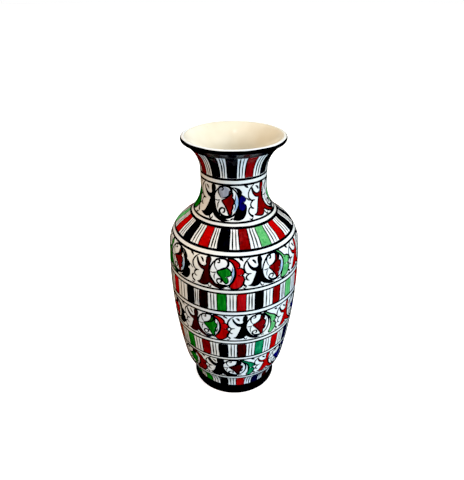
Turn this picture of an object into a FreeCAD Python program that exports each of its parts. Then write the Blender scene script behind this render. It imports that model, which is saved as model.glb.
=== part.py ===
"""A wheel-thrown pottery vase with a turned foot, a round shoulder and a flared mouth.

Units are millimetres.  The origin is the centre of the standing face of the foot, and +Z is up.
The wall is thrown in sections.  Each section's rim is cut with a step, so that the next section
seats on it and is centred by it, and the sections are luted together with slip.  The fired clay
carries four coats of glaze: the black foot, the white outside, the roll of the lip and the lining.

Every curve of the wall is an arc in tangent with its neighbours.  The finished surface, the clay
and the lining are the same arcs moved inwards by an offset, so they share one set of centres.
"""
import FreeCAD, Part
import math
import os

import Sketcher
from FreeCAD import Vector

# Driving dimensions.  Radii and heights are those of the finished, glazed surface.
SIZES = {
    "vase_height": 300.0,
    "waist_radius": 48.1,
    "waist_height": 9.6,
    "waist_curve": 31.0,
    "lower_curve": 36.5,
    "belly_radius": 70.6,
    "belly_height": 151.3,
    "belly_curve": 560.0,
    "shoulder_centre_height": 183.7,
    "shoulder_curve": 38.2,
    "neck_radius": 33.5,
    "neck_curve": 41.3,
    "neck_top": 266.1,
    "mouth_curve": 33.9,
    "wall_thickness": 5.0,
    "glaze_thickness": 0.4,
    "floor_top": 12.0,
    "floor_corner": 8.0,
    "floor_disc_radius": 42.0,
    "foot_recess_depth": 5.0,
    "foot_recess_radius": 39.5,
    "foot_inner_radius": 41.0,
    "foot_glaze_low": 1.0,
    "foot_glaze_high": 12.5,
    "foot_joint_height": 5.0,
    "lower_joint_height": 41.0,
    "lower_joint_radius": 57.3,
    "belly_joint_height": 112.0,
    "belly_joint_radius": 66.8,
    "shoulder_joint_height": 186.0,
    "shoulder_joint_radius": 66.9,
    "neck_joint_height": 214.0,
    "neck_joint_radius": 48.6,
    "mouth_joint_height": 268.0,
    "mouth_joint_radius": 31.1,
    "joint_step": 2.5,
    "cutter_radius": 90.0,
    "cutter_drop": 10.0,
}

# The wall's arcs from the foot up: +1 where the wall bulges outwards, -1 where it is hollow.
ARCS = (("waist", -1), ("lower", 1), ("belly", 1), ("shoulder", 1), ("neck", -1), ("mouth", -1))

# Where each arc's centre is held: its distance from the axis and its height.  A centre with a
# part left out is held there by its tangents.
CENTRE_RULES = {
    "waist": ("Sizes.waist_radius + Sizes.waist_curve", "Sizes.waist_height"),
    "belly": ("Sizes.belly_radius - Sizes.belly_curve", "Sizes.belly_height"),
    "shoulder": (None, "Sizes.shoulder_centre_height"),
    "neck": ("Sizes.neck_radius + Sizes.neck_curve", None),
    "mouth": (None, "Sizes.neck_top"),
    "lip": (None, "Sizes.vase_height - Sizes.wall_thickness / 2"),
}

# Depth below the finished outer surface, as a formula on the sheet.
OUTER_FACE = "0"
OUTER_CLAY = "Sizes.glaze_thickness"
INNER_CLAY = "(Sizes.wall_thickness - Sizes.glaze_thickness)"
INNER_FACE = "Sizes.wall_thickness"

START, END, CENTRE = 1, 2, 3
X_AXIS, Y_AXIS = -1, -2


class Dimensions:
    """The sheet's cells, read by name."""

    def __init__(self, sheet):
        for name in SIZES:
            setattr(self, name, float(sheet.get(name)))
        self.lip_roll = self.wall_thickness / 2
        self.inner_clay = self.wall_thickness - self.glaze_thickness


def make_sheet(doc):
    sheet = doc.addObject("Spreadsheet::Sheet", "Sizes")
    for row, (name, value) in enumerate(SIZES.items(), start=1):
        sheet.set(f"A{row}", name)
        sheet.set(f"B{row}", str(value))
        sheet.setAlias(f"B{row}", name)
    doc.recompute()
    return sheet


def unit(start, end):
    return (end - start).normalize()


def meeting_point(low, low_radius, high, high_radius):
    """Where two arcs in tangent meet: on the line of their centres, from the larger arc's one."""
    if high_radius > low_radius:
        return high + unit(high, low) * high_radius
    return low + unit(low, high) * low_radius


def centre_between(low, low_reach, high, high_reach):
    """The upper of the two points at the given distances from two centres."""
    span = (high - low).Length
    along = (low_reach ** 2 - high_reach ** 2 + span ** 2) / (2 * span)
    across = math.sqrt(low_reach ** 2 - along ** 2)
    forward = unit(low, high)
    sideways = Vector(-forward.y, forward.x, 0) * across
    middle = low + forward * along
    return max(middle + sideways, middle - sideways, key=lambda point: point.y)


def wall_centres(size):
    """Centres of the wall's arcs and of the lip's roll, as (radius, height)."""
    waist = Vector(size.waist_radius + size.waist_curve, size.waist_height, 0)
    belly = Vector(size.belly_radius - size.belly_curve, size.belly_height, 0)
    lower = centre_between(waist, size.waist_curve + size.lower_curve,
                           belly, size.belly_curve - size.lower_curve)
    rise = size.shoulder_centre_height - belly.y
    reach = size.belly_curve - size.shoulder_curve
    shoulder = Vector(belly.x + math.sqrt(reach ** 2 - rise ** 2), belly.y + rise, 0)
    neck_x = size.neck_radius + size.neck_curve
    reach = size.shoulder_curve + size.neck_curve
    neck = Vector(neck_x, shoulder.y + math.sqrt(reach ** 2 - (neck_x - shoulder.x) ** 2), 0)
    mouth = Vector(size.neck_radius + size.mouth_curve, size.neck_top, 0)
    lip_height = size.vase_height - size.lip_roll
    reach = size.mouth_curve + size.lip_roll
    lip = Vector(mouth.x - math.sqrt(reach ** 2 - (lip_height - mouth.y) ** 2), lip_height, 0)
    return {"waist": waist, "lower": lower, "belly": belly, "shoulder": shoulder,
            "neck": neck, "mouth": mouth, "lip": lip}


class SectionSketch:
    """A body turned from one sketch of the wall's section: radius across, height up."""

    def __init__(self, doc, size, label):
        self.size = size
        self.centres = wall_centres(size)
        self.body = doc.addObject("PartDesign::Body", label)
        self.body.Label = label
        self.sketch = self.body.newObject("Sketcher::SketchObject", f"{label}_section")
        plane = [item for item in self.body.Origin.OriginFeatures if item.Role == "XZ_Plane"][0]
        self.sketch.AttachmentSupport = [(plane, "")]
        self.sketch.MapMode = "FlatFace"

    def fix(self, kind, *where):
        return self.sketch.addConstraint(Sketcher.Constraint(kind, *where))

    def bind(self, kind, *where, value, formula):
        """A dimension that follows a formula on the sheet."""
        index = self.fix(kind, *where, value)
        self.sketch.setExpression(f"Constraints[{index}]", formula)

    def line(self, start, end, construction=False):
        return self.sketch.addGeometry(Part.LineSegment(start, end), construction)

    def arc(self, centre, radius, first, last):
        """An arc drawn anticlockwise from one direction to another."""
        start = math.atan2(first.y - centre.y, first.x - centre.x)
        end = math.atan2(last.y - centre.y, last.x - centre.x)
        if end < start:
            end += 2 * math.pi
        circle = Part.Circle(centre, Vector(0, 0, 1), radius)
        return self.sketch.addGeometry(Part.ArcOfCircle(circle, start, end))

    def hold_across(self, index, point, value, formula):
        if value < 0:
            self.bind("DistanceX", index, point, X_AXIS, START, value=-value, formula=f"-({formula})")
        else:
            self.bind("DistanceX", X_AXIS, START, index, point, value=value, formula=formula)

    def hold_height(self, index, point, value, formula):
        self.bind("DistanceY", X_AXIS, START, index, point, value=value, formula=formula)

    def hold_centre(self, name, index, point=CENTRE):
        across, height = CENTRE_RULES.get(name, (None, None))
        if across:
            self.hold_across(index, point, self.centres[name].x, across)
        if height:
            self.hold_height(index, point, self.centres[name].y, height)

    def waist_point(self, depth, height):
        """The point of the waist arc at a height, at a depth below the finished surface."""
        waist = self.centres["waist"]
        radius = self.size.waist_curve + depth
        return Vector(waist.x - math.sqrt(radius ** 2 - (height - waist.y) ** 2), height, 0)

    def wall_surface(self, depth, depth_formula, first):
        """One surface of the wall, from a point on the waist arc up to the roll of the lip.

        Returns its bottom and top vertices, each as an edge and which point of it.
        """
        centres = self.centres
        radius = {}
        for name, bulge in ARCS:
            radius[name] = getattr(self.size, f"{name}_curve") - bulge * depth
        corners = [first]
        for (low, _), (high, _) in zip(ARCS[:4], ARCS[1:5]):
            corners.append(meeting_point(centres[low], radius[low], centres[high], radius[high]))
        neck_side = centres["neck"] - Vector(radius["neck"], 0, 0)
        mouth_side = centres["mouth"] - Vector(radius["mouth"], 0, 0)
        lip_side = centres["mouth"] + unit(centres["mouth"], centres["lip"]) * radius["mouth"]
        spans = list(zip(corners, corners[1:] + [neck_side])) + [(mouth_side, lip_side)]
        bottom = None
        top = None
        for (name, bulge), (low, high) in zip(ARCS, spans):
            if name == "mouth":
                neck_line = self.line(neck_side, mouth_side)
                self.fix("Tangent", *top, neck_line, START)
                self.fix("Vertical", neck_line)
                top = (neck_line, END)
            if bulge > 0:
                edge = self.arc(centres[name], radius[name], low, high)
                entry, leaving = (edge, START), (edge, END)
            else:
                edge = self.arc(centres[name], radius[name], high, low)
                entry, leaving = (edge, END), (edge, START)
            if top is None:
                bottom = entry
            else:
                self.fix("Tangent", *top, *entry)
            sign = "-" if bulge > 0 else "+"
            self.bind("Radius", edge, value=radius[name],
                      formula=f"Sizes.{name}_curve {sign} {depth_formula}")
            self.hold_centre(name, edge)
            top = leaving
        return bottom, top

    def lip_roll(self, depth):
        """The half-round roll of the lip, from the outer surface over to the inner one."""
        lip = self.centres["lip"]
        away = unit(self.centres["mouth"], lip)
        radius = self.size.lip_roll - depth
        return self.arc(lip, radius, lip - away * radius, lip + away * radius)

    def lip_spoke(self):
        """A construction line from the centre of the mouth's arc through that of the roll."""
        mouth, lip = self.centres["mouth"], self.centres["lip"]
        reach = self.size.mouth_curve + self.size.wall_thickness
        spoke = self.line(mouth, mouth + unit(mouth, lip) * reach, construction=True)
        roll = self.sketch.addGeometry(Part.Point(lip), True)
        self.fix("PointOnObject", roll, START, spoke)
        self.hold_centre("lip", roll, START)
        self.hold_across(spoke, START, mouth.x, "Sizes.neck_radius + Sizes.mouth_curve")
        self.hold_height(spoke, START, mouth.y, "Sizes.neck_top")
        self.bind("Distance", spoke, START, roll, START, value=(lip - mouth).Length,
                  formula="Sizes.mouth_curve + Sizes.wall_thickness / 2")
        self.bind("Distance", spoke, value=reach,
                  formula="Sizes.mouth_curve + Sizes.wall_thickness")
        return spoke

    def edge_on_spoke(self, spoke, depth_a, vertex_a, depth_b, vertex_b):
        """The short edge of a coat that ends square to the wall where the roll begins."""
        mouth = self.centres["mouth"]
        away = unit(mouth, self.centres["lip"])
        edge = self.line(mouth + away * (self.size.mouth_curve + depth_a),
                         mouth + away * (self.size.mouth_curve + depth_b))
        self.fix("Coincident", edge, START, *vertex_a)
        self.fix("Coincident", edge, END, *vertex_b)
        self.fix("PointOnObject", edge, START, spoke)
        self.fix("PointOnObject", edge, END, spoke)

    def floor_place(self, glaze):
        """Centre of the fillet between floor and wall, and where it meets the inner wall."""
        size, waist = self.size, self.centres["waist"]
        reach = size.waist_curve + size.inner_clay + size.floor_corner
        height = size.floor_top + size.floor_corner
        corner = Vector(waist.x - math.sqrt(reach ** 2 - (height - waist.y) ** 2), height, 0)
        touch = waist + unit(waist, corner) * (size.waist_curve + size.inner_clay + glaze)
        return corner, touch

    def pot_floor(self, glaze, glaze_formula, wall_bottom):
        """The floor inside, from the axis out to the fillet and up to the wall."""
        size = self.size
        corner, touch = self.floor_place(glaze)
        floor_height = size.floor_top + glaze
        edge_point = Vector(corner.x, floor_height, 0)
        fillet = self.arc(corner, size.floor_corner - glaze, edge_point, touch)
        self.bind("Radius", fillet, value=size.floor_corner - glaze,
                  formula=f"Sizes.floor_corner - {glaze_formula}")
        self.fix("Tangent", fillet, END, *wall_bottom)
        floor = self.line(Vector(0, floor_height, 0), edge_point)
        self.fix("Tangent", floor, END, fillet, START)
        self.fix("Horizontal", floor)
        self.fix("PointOnObject", floor, START, Y_AXIS)
        self.hold_height(floor, START, floor_height, f"Sizes.floor_top + {glaze_formula}")
        return floor

    def turn(self):
        turned = self.body.newObject("PartDesign::Revolution", f"{self.body.Label}_turned")
        turned.Profile = self.sketch
        turned.ReferenceAxis = (self.sketch, ["V_Axis"])
        turned.Angle = 360
        self.body.Tip = turned
        return self.body


def make_thrown_form(doc, size):
    """The whole of the clay, before it is divided into the sections it is thrown in."""
    form = SectionSketch(doc, size, "thrown_form")
    glaze = size.glaze_thickness
    base = form.waist_point(glaze, 0.0)
    outer_bottom, outer_top = form.wall_surface(glaze, OUTER_CLAY, base)
    inner_start = form.floor_place(0.0)[1]
    inner_bottom, inner_top = form.wall_surface(size.inner_clay, INNER_CLAY, inner_start)
    roll = form.lip_roll(glaze)
    form.hold_centre("lip", roll)
    form.fix("Tangent", *outer_top, roll, START)
    form.fix("Tangent", roll, END, *inner_top)
    floor = form.pot_floor(0.0, "0", inner_bottom)
    corners = [Vector(0, size.floor_top, 0),
               Vector(0, size.foot_recess_depth, 0),
               Vector(size.foot_recess_radius, size.foot_recess_depth, 0),
               Vector(size.foot_inner_radius, 0, 0),
               base]
    edges = [form.line(start, end) for start, end in zip(corners, corners[1:])]
    axis, recess, bevel, standing = edges
    form.fix("Coincident", axis, START, floor, START)
    for edge, following in zip(edges, edges[1:]):
        form.fix("Coincident", edge, END, following, START)
    form.fix("Coincident", standing, END, *outer_bottom)
    form.fix("PointOnObject", axis, END, Y_AXIS)
    form.fix("Horizontal", recess)
    form.fix("PointOnObject", standing, START, X_AXIS)
    form.fix("PointOnObject", standing, END, X_AXIS)
    form.hold_height(recess, END, size.foot_recess_depth, "Sizes.foot_recess_depth")
    form.hold_across(recess, END, size.foot_recess_radius, "Sizes.foot_recess_radius")
    form.hold_across(bevel, END, size.foot_inner_radius, "Sizes.foot_inner_radius")
    return form.turn()


def make_exterior_glaze(doc, size):
    """The white coat, from the top of the black foot up to the roll of the lip."""
    coat = SectionSketch(doc, size, "exterior_glaze")
    glaze, height = size.glaze_thickness, size.foot_glaze_high
    face, back = coat.waist_point(0.0, height), coat.waist_point(glaze, height)
    face_bottom, face_top = coat.wall_surface(0.0, OUTER_FACE, face)
    back_bottom, back_top = coat.wall_surface(glaze, OUTER_CLAY, back)
    edge = coat.line(face, back)
    coat.fix("Coincident", edge, START, *face_bottom)
    coat.fix("Coincident", edge, END, *back_bottom)
    coat.fix("Horizontal", edge)
    coat.hold_height(edge, START, height, "Sizes.foot_glaze_high")
    coat.edge_on_spoke(coat.lip_spoke(), 0.0, face_top, glaze, back_top)
    return coat.turn()


def make_interior_glaze(doc, size):
    """The cream lining, from the middle of the floor up to the roll of the lip."""
    coat = SectionSketch(doc, size, "interior_glaze")
    glaze = size.glaze_thickness
    face_bottom, face_top = coat.wall_surface(size.wall_thickness, INNER_FACE,
                                              coat.floor_place(glaze)[1])
    back_bottom, back_top = coat.wall_surface(size.inner_clay, INNER_CLAY,
                                              coat.floor_place(0.0)[1])
    face_floor = coat.pot_floor(glaze, "Sizes.glaze_thickness", face_bottom)
    back_floor = coat.pot_floor(0.0, "0", back_bottom)
    axis = coat.line(Vector(0, size.floor_top + glaze, 0), Vector(0, size.floor_top, 0))
    coat.fix("Coincident", axis, START, face_floor, START)
    coat.fix("Coincident", axis, END, back_floor, START)
    coat.edge_on_spoke(coat.lip_spoke(), size.wall_thickness, face_top,
                       size.inner_clay, back_top)
    return coat.turn()


def make_lip_glaze(doc, size):
    """The white coat over the half-round roll of the lip."""
    coat = SectionSketch(doc, size, "lip_glaze")
    glaze = size.glaze_thickness
    face = coat.lip_roll(0.0)
    back = coat.lip_roll(glaze)
    coat.bind("Radius", face, value=size.lip_roll, formula="Sizes.wall_thickness / 2")
    coat.bind("Radius", back, value=size.lip_roll - glaze,
              formula="Sizes.wall_thickness / 2 - Sizes.glaze_thickness")
    coat.hold_centre("lip", face)
    spoke = coat.lip_spoke()
    coat.edge_on_spoke(spoke, 0.0, (face, START), glaze, (back, START))
    coat.edge_on_spoke(spoke, size.wall_thickness, (face, END), size.inner_clay, (back, END))
    coat.fix("Coincident", face, CENTRE, back, CENTRE)
    coat.fix("PointOnObject", face, CENTRE, spoke)
    return coat.turn()


def make_foot_glaze(doc, size):
    """The black coat round the foot, wiped clear of the standing face."""
    coat = SectionSketch(doc, size, "foot_glaze")
    edges = []
    low, high = size.foot_glaze_low, size.foot_glaze_high
    for depth, formula in ((0.0, OUTER_FACE), (size.glaze_thickness, OUTER_CLAY)):
        radius = size.waist_curve + depth
        edge = coat.arc(coat.centres["waist"], radius, coat.waist_point(depth, high),
                        coat.waist_point(depth, low))
        coat.bind("Radius", edge, value=radius, formula=f"Sizes.waist_curve + {formula}")
        coat.hold_centre("waist", edge)
        edges.append(edge)
    face, back = edges
    for point, height, name in ((START, high, "foot_glaze_high"), (END, low, "foot_glaze_low")):
        rim = coat.line(coat.waist_point(0.0, height),
                        coat.waist_point(size.glaze_thickness, height))
        coat.fix("Coincident", rim, START, face, point)
        coat.fix("Coincident", rim, END, back, point)
        coat.fix("Horizontal", rim)
        coat.hold_height(rim, START, height, f"Sizes.{name}")
    return coat.turn()


def make_plug(doc, label, radius_formula, height_formula):
    """A cylinder on the axis from below the foot up to a height."""
    plug = doc.addObject("Part::Cylinder", label)
    plug.setExpression("Radius", radius_formula)
    plug.setExpression("Height", f"{height_formula} + Sizes.cutter_drop")
    plug.setExpression("Placement.Base.z", "-Sizes.cutter_drop")
    return plug


def make_stepped_joint(doc, name):
    """Everything below one joint: the inner half of the wall stands up by the joint's step."""
    low = make_plug(doc, f"{name}_joint_seat", "Sizes.cutter_radius",
                    f"Sizes.{name}_joint_height")
    step = make_plug(doc, f"{name}_joint_tongue", f"Sizes.{name}_joint_radius",
                     f"Sizes.{name}_joint_height + Sizes.joint_step")
    below = doc.addObject("Part::Fuse", f"below_{name}_joint")
    below.Base = low
    below.Tool = step
    return below


def common(doc, label, base, tool):
    shared = doc.addObject("Part::Common", label)
    shared.Base = base
    shared.Tool = tool
    shared.Label = label
    return shared


def cut(doc, label, base, tool):
    remainder = doc.addObject("Part::Cut", label)
    remainder.Base = base
    remainder.Tool = tool
    remainder.Label = label
    return remainder


def make_clay_sections(doc, form):
    """Divide the thrown form at its joints, from the foot up."""
    below_foot = make_plug(doc, "below_foot_joint", "Sizes.cutter_radius",
                           "Sizes.foot_joint_height")
    disc_tool = make_plug(doc, "floor_disc_tool", "Sizes.floor_disc_radius", "Sizes.floor_top")
    rest = cut(doc, "above_foot_joint", form, below_foot)
    sections = [common(doc, "foot_ring", form, below_foot),
                common(doc, "base_floor", rest, disc_tool)]
    rest = cut(doc, "wall_without_floor", rest, disc_tool)
    names = ("lower_wall", "belly_lower", "belly_upper", "shoulder_wall", "neck_wall")
    joints = ("lower", "belly", "shoulder", "neck", "mouth")
    for label, joint in zip(names, joints):
        below = make_stepped_joint(doc, joint)
        sections.append(common(doc, label, rest, below))
        rest = cut(doc, f"above_{joint}_joint", rest, below)
    rest.Label = "mouth_rim"
    sections.append(rest)
    return sections


def check(doc, parts):
    """Stop if anything failed to compute, or if a part isn't one valid closed solid."""
    for item in doc.Objects:
        if "Invalid" in item.State or "Error" in item.State:
            raise RuntimeError(f"{item.Name} failed: {item.State}")
    for part in parts:
        shape = part.Shape
        if shape.isNull() or not shape.isValid() or len(shape.Solids) != 1:
            raise RuntimeError(f"{part.Label} isn't one valid solid")


def main():
    doc = FreeCAD.newDocument("pottery_vase")
    size = Dimensions(make_sheet(doc))
    form = make_thrown_form(doc, size)
    coats = [make_foot_glaze(doc, size), make_exterior_glaze(doc, size),
             make_lip_glaze(doc, size), make_interior_glaze(doc, size)]
    doc.recompute()
    sections = make_clay_sections(doc, form)
    doc.recompute()
    parts = sections + coats
    check(doc, parts)
    os.makedirs("parts", exist_ok=True)
    for part in parts:
        part.Shape.exportStep(f"parts/{part.Label}.step")
        bounds = part.Shape.BoundBox
        print(f"{part.Label:16s} volume {part.Shape.Volume / 1000:8.2f} cm3, "
              f"radius {bounds.XMax:6.2f}, height {bounds.ZMin:7.2f} to {bounds.ZMax:7.2f}")


main()
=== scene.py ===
"""Looks of the painted pottery vase: glazed skins, a lining and relief-thin painted ornament.

Everything is in metres in the frame's own axes.  Angles round the vase are in degrees from the
side that faces -Y, and grow towards +X.
"""
import math
import random

import bpy
import numpy as np
from mathutils import Matrix, Vector
from mathutils.geometry import delaunay_2d_cdt


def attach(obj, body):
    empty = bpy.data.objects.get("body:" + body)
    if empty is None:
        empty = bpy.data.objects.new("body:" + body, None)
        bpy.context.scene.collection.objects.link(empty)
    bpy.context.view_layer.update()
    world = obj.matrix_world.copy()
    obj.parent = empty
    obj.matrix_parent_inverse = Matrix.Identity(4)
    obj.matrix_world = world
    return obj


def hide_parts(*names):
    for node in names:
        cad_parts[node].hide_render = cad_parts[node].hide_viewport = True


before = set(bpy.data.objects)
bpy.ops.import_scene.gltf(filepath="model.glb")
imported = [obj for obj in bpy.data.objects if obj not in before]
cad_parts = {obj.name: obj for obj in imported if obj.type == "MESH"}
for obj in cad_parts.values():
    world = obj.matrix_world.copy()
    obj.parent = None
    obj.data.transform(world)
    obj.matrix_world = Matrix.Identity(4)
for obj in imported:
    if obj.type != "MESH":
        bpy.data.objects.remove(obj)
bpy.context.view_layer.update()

MM = 0.001
RNG = random.Random(20)

# Driving dimensions of the wall's section, in millimetres, as the CAD source has them.
HEIGHT = 300.0
WAIST_RADIUS, WAIST_HEIGHT, WAIST_CURVE = 48.1, 9.6, 31.0
LOWER_CURVE = 36.5
BELLY_RADIUS, BELLY_HEIGHT, BELLY_CURVE = 70.6, 151.3, 560.0
SHOULDER_CENTRE_HEIGHT, SHOULDER_CURVE = 183.7, 38.2
NECK_RADIUS, NECK_CURVE, NECK_TOP = 33.5, 41.3, 266.1
MOUTH_CURVE = 33.9
WALL, GLAZE = 5.0, 0.4
FLOOR_TOP, FLOOR_CORNER = 12.0, 8.0
FOOT_GLAZE_LOW, FOOT_GLAZE_HIGH = 0.4, 12.5

# Where the outside ends on the lip's roll, up from level.
LIP_TOP_ANGLE = math.radians(80)
# A visual coat is a little thinner than the CAD coat, so that its back stays off the clay.
COAT_DEPTH = GLAZE * 0.95

SEGMENTS = 288
PROFILE_STEP, ROLL_STEP, LIP_STEP, FILLET_STEP = 1.2, 0.5, 0.25, 0.8
FLOOR_POINTS = 14
SAME_POINT = 1e-6
# Random phases of the hand's waver are drawn from nought to this, about a full turn.
PHASES = 6.28


# ---------------------------------------------------------------- the wall's section

def unit(start, end):
    """The direction from one point to another."""
    return (end - start) / np.linalg.norm(end - start)


def centre_between(low, low_reach, high, high_reach):
    """The upper of the two points at the given distances from two centres."""
    span = np.linalg.norm(high - low)
    along = (low_reach ** 2 - high_reach ** 2 + span ** 2) / (2 * span)
    across = math.sqrt(low_reach ** 2 - along ** 2)
    forward = unit(low, high)
    sideways = np.array([-forward[1], forward[0]]) * across
    return max(low + forward * along + sideways, low + forward * along - sideways,
               key=lambda point: point[1])


def wall_centres():
    """Centres of the wall's arcs, as (radius, height) in millimetres."""
    waist = np.array([WAIST_RADIUS + WAIST_CURVE, WAIST_HEIGHT])
    belly = np.array([BELLY_RADIUS - BELLY_CURVE, BELLY_HEIGHT])
    lower = centre_between(waist, WAIST_CURVE + LOWER_CURVE, belly, BELLY_CURVE - LOWER_CURVE)
    rise = SHOULDER_CENTRE_HEIGHT - BELLY_HEIGHT
    reach = BELLY_CURVE - SHOULDER_CURVE
    shoulder = np.array([belly[0] + math.sqrt(reach ** 2 - rise ** 2), SHOULDER_CENTRE_HEIGHT])
    neck_x = NECK_RADIUS + NECK_CURVE
    reach = SHOULDER_CURVE + NECK_CURVE
    neck = np.array([neck_x, shoulder[1] + math.sqrt(reach ** 2 - (neck_x - shoulder[0]) ** 2)])
    mouth = np.array([NECK_RADIUS + MOUTH_CURVE, NECK_TOP])
    lip_height = HEIGHT - WALL / 2
    reach = MOUTH_CURVE + WALL / 2
    lip = np.array([mouth[0] - math.sqrt(reach ** 2 - (lip_height - NECK_TOP) ** 2), lip_height])
    return waist, lower, belly, shoulder, neck, mouth, lip


def arc_points(centre, radius, first, last, step=PROFILE_STEP):
    """Points and outward directions along an arc between two angles, both ends included."""
    count = max(3, int(abs(last - first) * radius / step) + 1)
    angles = np.linspace(first, last, count)
    away = np.stack([np.cos(angles), np.sin(angles)], axis=1)
    return centre + away * radius, away


def angle_of(direction):
    """The direction's angle, from 0 to a full turn."""
    return math.atan2(direction[1], direction[0]) % (2 * math.pi)


def wall_profile(depth, low_height):
    """The wall's surface at a depth under the finish, from a height on the waist to the lip.

    Returns rows of radius, height and the two parts of the direction out of the wall.
    """
    waist, lower, belly, shoulder, neck, mouth, lip = wall_centres()
    rows = []

    def hollow(centre, curve, first, last):
        points, away = arc_points(centre, curve + depth, first, last)
        rows.append(np.hstack([points, -away]))

    def bulge(centre, curve, first, last):
        points, away = arc_points(centre, curve - depth, first, last)
        rows.append(np.hstack([points, away]))

    start = math.pi + math.asin((waist[1] - low_height) / (WAIST_CURVE + depth))
    hollow(waist, WAIST_CURVE, start, angle_of(lower - waist))
    low_angle = angle_of(waist - lower)
    belly_angle = math.atan2(*(lower - belly)[::-1])
    bulge(lower, LOWER_CURVE, low_angle - 2 * math.pi, belly_angle)
    shoulder_angle = math.atan2(*(shoulder - belly)[::-1])
    bulge(belly, BELLY_CURVE, belly_angle, shoulder_angle)
    neck_angle = angle_of(neck - shoulder)
    bulge(shoulder, SHOULDER_CURVE, shoulder_angle, neck_angle)
    hollow(neck, NECK_CURVE, neck_angle + math.pi, math.pi)
    hollow(mouth, MOUTH_CURVE, math.pi, angle_of(lip - mouth))
    profile = np.vstack(rows)
    steps = np.linalg.norm(np.diff(profile[:, :2], axis=0), axis=1)
    return profile[np.concatenate([[True], steps > SAME_POINT])]


def roll_points(depth):
    """The half-round roll of the lip, from the outer surface over to the inner one."""
    mouth, lip = wall_centres()[5:]
    start = angle_of(mouth - lip) - 2 * math.pi
    return arc_points(lip, WALL / 2 - depth, start, start + math.pi, step=ROLL_STEP)[0]


def floor_points(depth):
    """The inside from the fillet's top down to the axis, for the lining at a depth."""
    waist = wall_centres()[0]
    reach = WAIST_CURVE + WALL - GLAZE + FLOOR_CORNER
    height = FLOOR_TOP + FLOOR_CORNER
    corner = np.array([waist[0] - math.sqrt(reach ** 2 - (height - waist[1]) ** 2), height])
    curve = FLOOR_CORNER - (depth - (WALL - GLAZE))
    touch = math.atan2(*(waist - corner)[::-1])
    fillet = arc_points(corner, curve, touch, -math.pi / 2, step=FILLET_STEP)[0]
    across = np.linspace(fillet[-1][0], 0.0, FLOOR_POINTS)[1:]
    level = np.full(len(across), fillet[-1][1])
    return np.vstack([fillet, np.stack([across, level], axis=1)])


def outside_rows():
    """The outside from the table to the top of the lip, as rows like the wall's."""
    lip = wall_centres()[-1]
    wall = wall_profile(0.0, 0.0)
    first = math.atan2(*wall[-1, :1:-1])
    points, away = arc_points(lip, WALL / 2, first, LIP_TOP_ANGLE, step=LIP_STEP)
    return np.vstack([wall, np.hstack([points, away])[1:]])


OUTSIDE = outside_rows()


def waver(angle, height):
    """The slight unevenness of a hand-thrown wall, in millimetres outwards."""
    slow = 0.09 * np.sin(2 * angle + height / 85 + 0.6) + 0.06 * np.sin(3 * angle - height / 40)
    rings = 0.025 * np.sin(height / 1.9 + 0.8 * np.sin(angle) + 2.0 * np.sin(height / 31))
    return slow + rings


def on_wall(angle, height, lift):
    """Points on the outside, in metres: angle in degrees, height and lift in millimetres."""
    angle = np.radians(np.asarray(angle, float))
    height = np.asarray(height, float)
    radius, out, up = (np.interp(height, OUTSIDE[:, 1], OUTSIDE[:, k]) for k in (0, 2, 3))
    radius = radius + waver(angle, height) + lift * out
    return np.stack([radius * np.sin(angle), -radius * np.cos(angle), height + lift * up],
                    axis=-1) * MM


def radius_at(height):
    """The outside's radius at a height, both in millimetres."""
    return float(np.interp(height, OUTSIDE[:, 1], OUTSIDE[:, 0]))


# ---------------------------------------------------------------- meshes

def new_piece(name, verts, faces, material):
    """A smooth-shaded mesh that rides on the pot's one body."""
    mesh = bpy.data.meshes.new(name)
    mesh.from_pydata([tuple(v) for v in verts], [], faces)
    mesh.validate()
    mesh.polygons.foreach_set("use_smooth", [True] * len(mesh.polygons))
    mesh.materials.append(material)
    piece = bpy.data.objects.new(name, mesh)
    bpy.context.scene.collection.objects.link(piece)
    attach(piece, "root")
    return piece


def turned_piece(name, loop, material):
    """A closed section turned round the axis.  Points on the axis become a single vertex."""
    angles = np.linspace(0, 2 * math.pi, SEGMENTS, endpoint=False)
    verts, rings = [], []
    for radius, height in loop:
        if radius < SAME_POINT:
            rings.append([len(verts)] * SEGMENTS)
            verts.append((0.0, 0.0, height * MM))
            continue
        rings.append(list(range(len(verts), len(verts) + SEGMENTS)))
        reach = radius + waver(angles, height)
        verts.extend(np.stack([reach * np.sin(angles), -reach * np.cos(angles),
                               np.full(SEGMENTS, height)], axis=1) * MM)
    faces = []
    for low, high in zip(rings, rings[1:] + rings[:1]):
        for k in range(SEGMENTS):
            following = (k + 1) % SEGMENTS
            corners = [low[k], low[following], high[following], high[k]]
            corners = [c for n, c in enumerate(corners) if c != corners[n - 1]]
            if len(corners) > 2:
                faces.append(corners)
    return new_piece(name, verts, faces, material)


def coat_loop(face, back):
    """The closed section of a coat, from its face and its back."""
    return np.vstack([face, back[::-1]])


# ---------------------------------------------------------------- paint as thin relief

# Heights of the paint's face over the glaze, in millimetres: flat colour, colour laid over
# another, brush lines, rings and the lip's band.
FLAT_TOP, OVER_TOP, LINE_TOP, RING_TOP, SLEEVE_TOP = 0.07, 0.11, 0.13, 0.12, 0.09
# The paint's edges and back end under the glaze's face, so that no gap shows.
SUNK_EDGE, SUNK_MIDDLE = -0.06, -0.07
SLEEVE_EDGE, SLEEVE_BACK = -0.05, -0.08
# How much of its full height a line or ring has next to its edge.
NEXT_TO_EDGE = 0.8
EDGE_SPACING = 0.6
# The triangulation keeps what is inside the outline, and joins points closer than this.
INSIDE_ONLY, JOINED = 1, 1e-5


class Paint:
    """Painted shapes of one colour, gathered into one piece.  Sizes are in millimetres."""

    layers = {}

    def __init__(self, name, material):
        self.name = name
        self.material = material
        self.verts = []
        self.faces = []
        Paint.layers[name] = self

    def add(self, points, faces):
        base = len(self.verts)
        self.verts.extend(points)
        self.faces.extend([[base + k for k in face] for face in faces])

    def build(self):
        new_piece(self.name, self.verts, self.faces, self.material)


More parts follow.
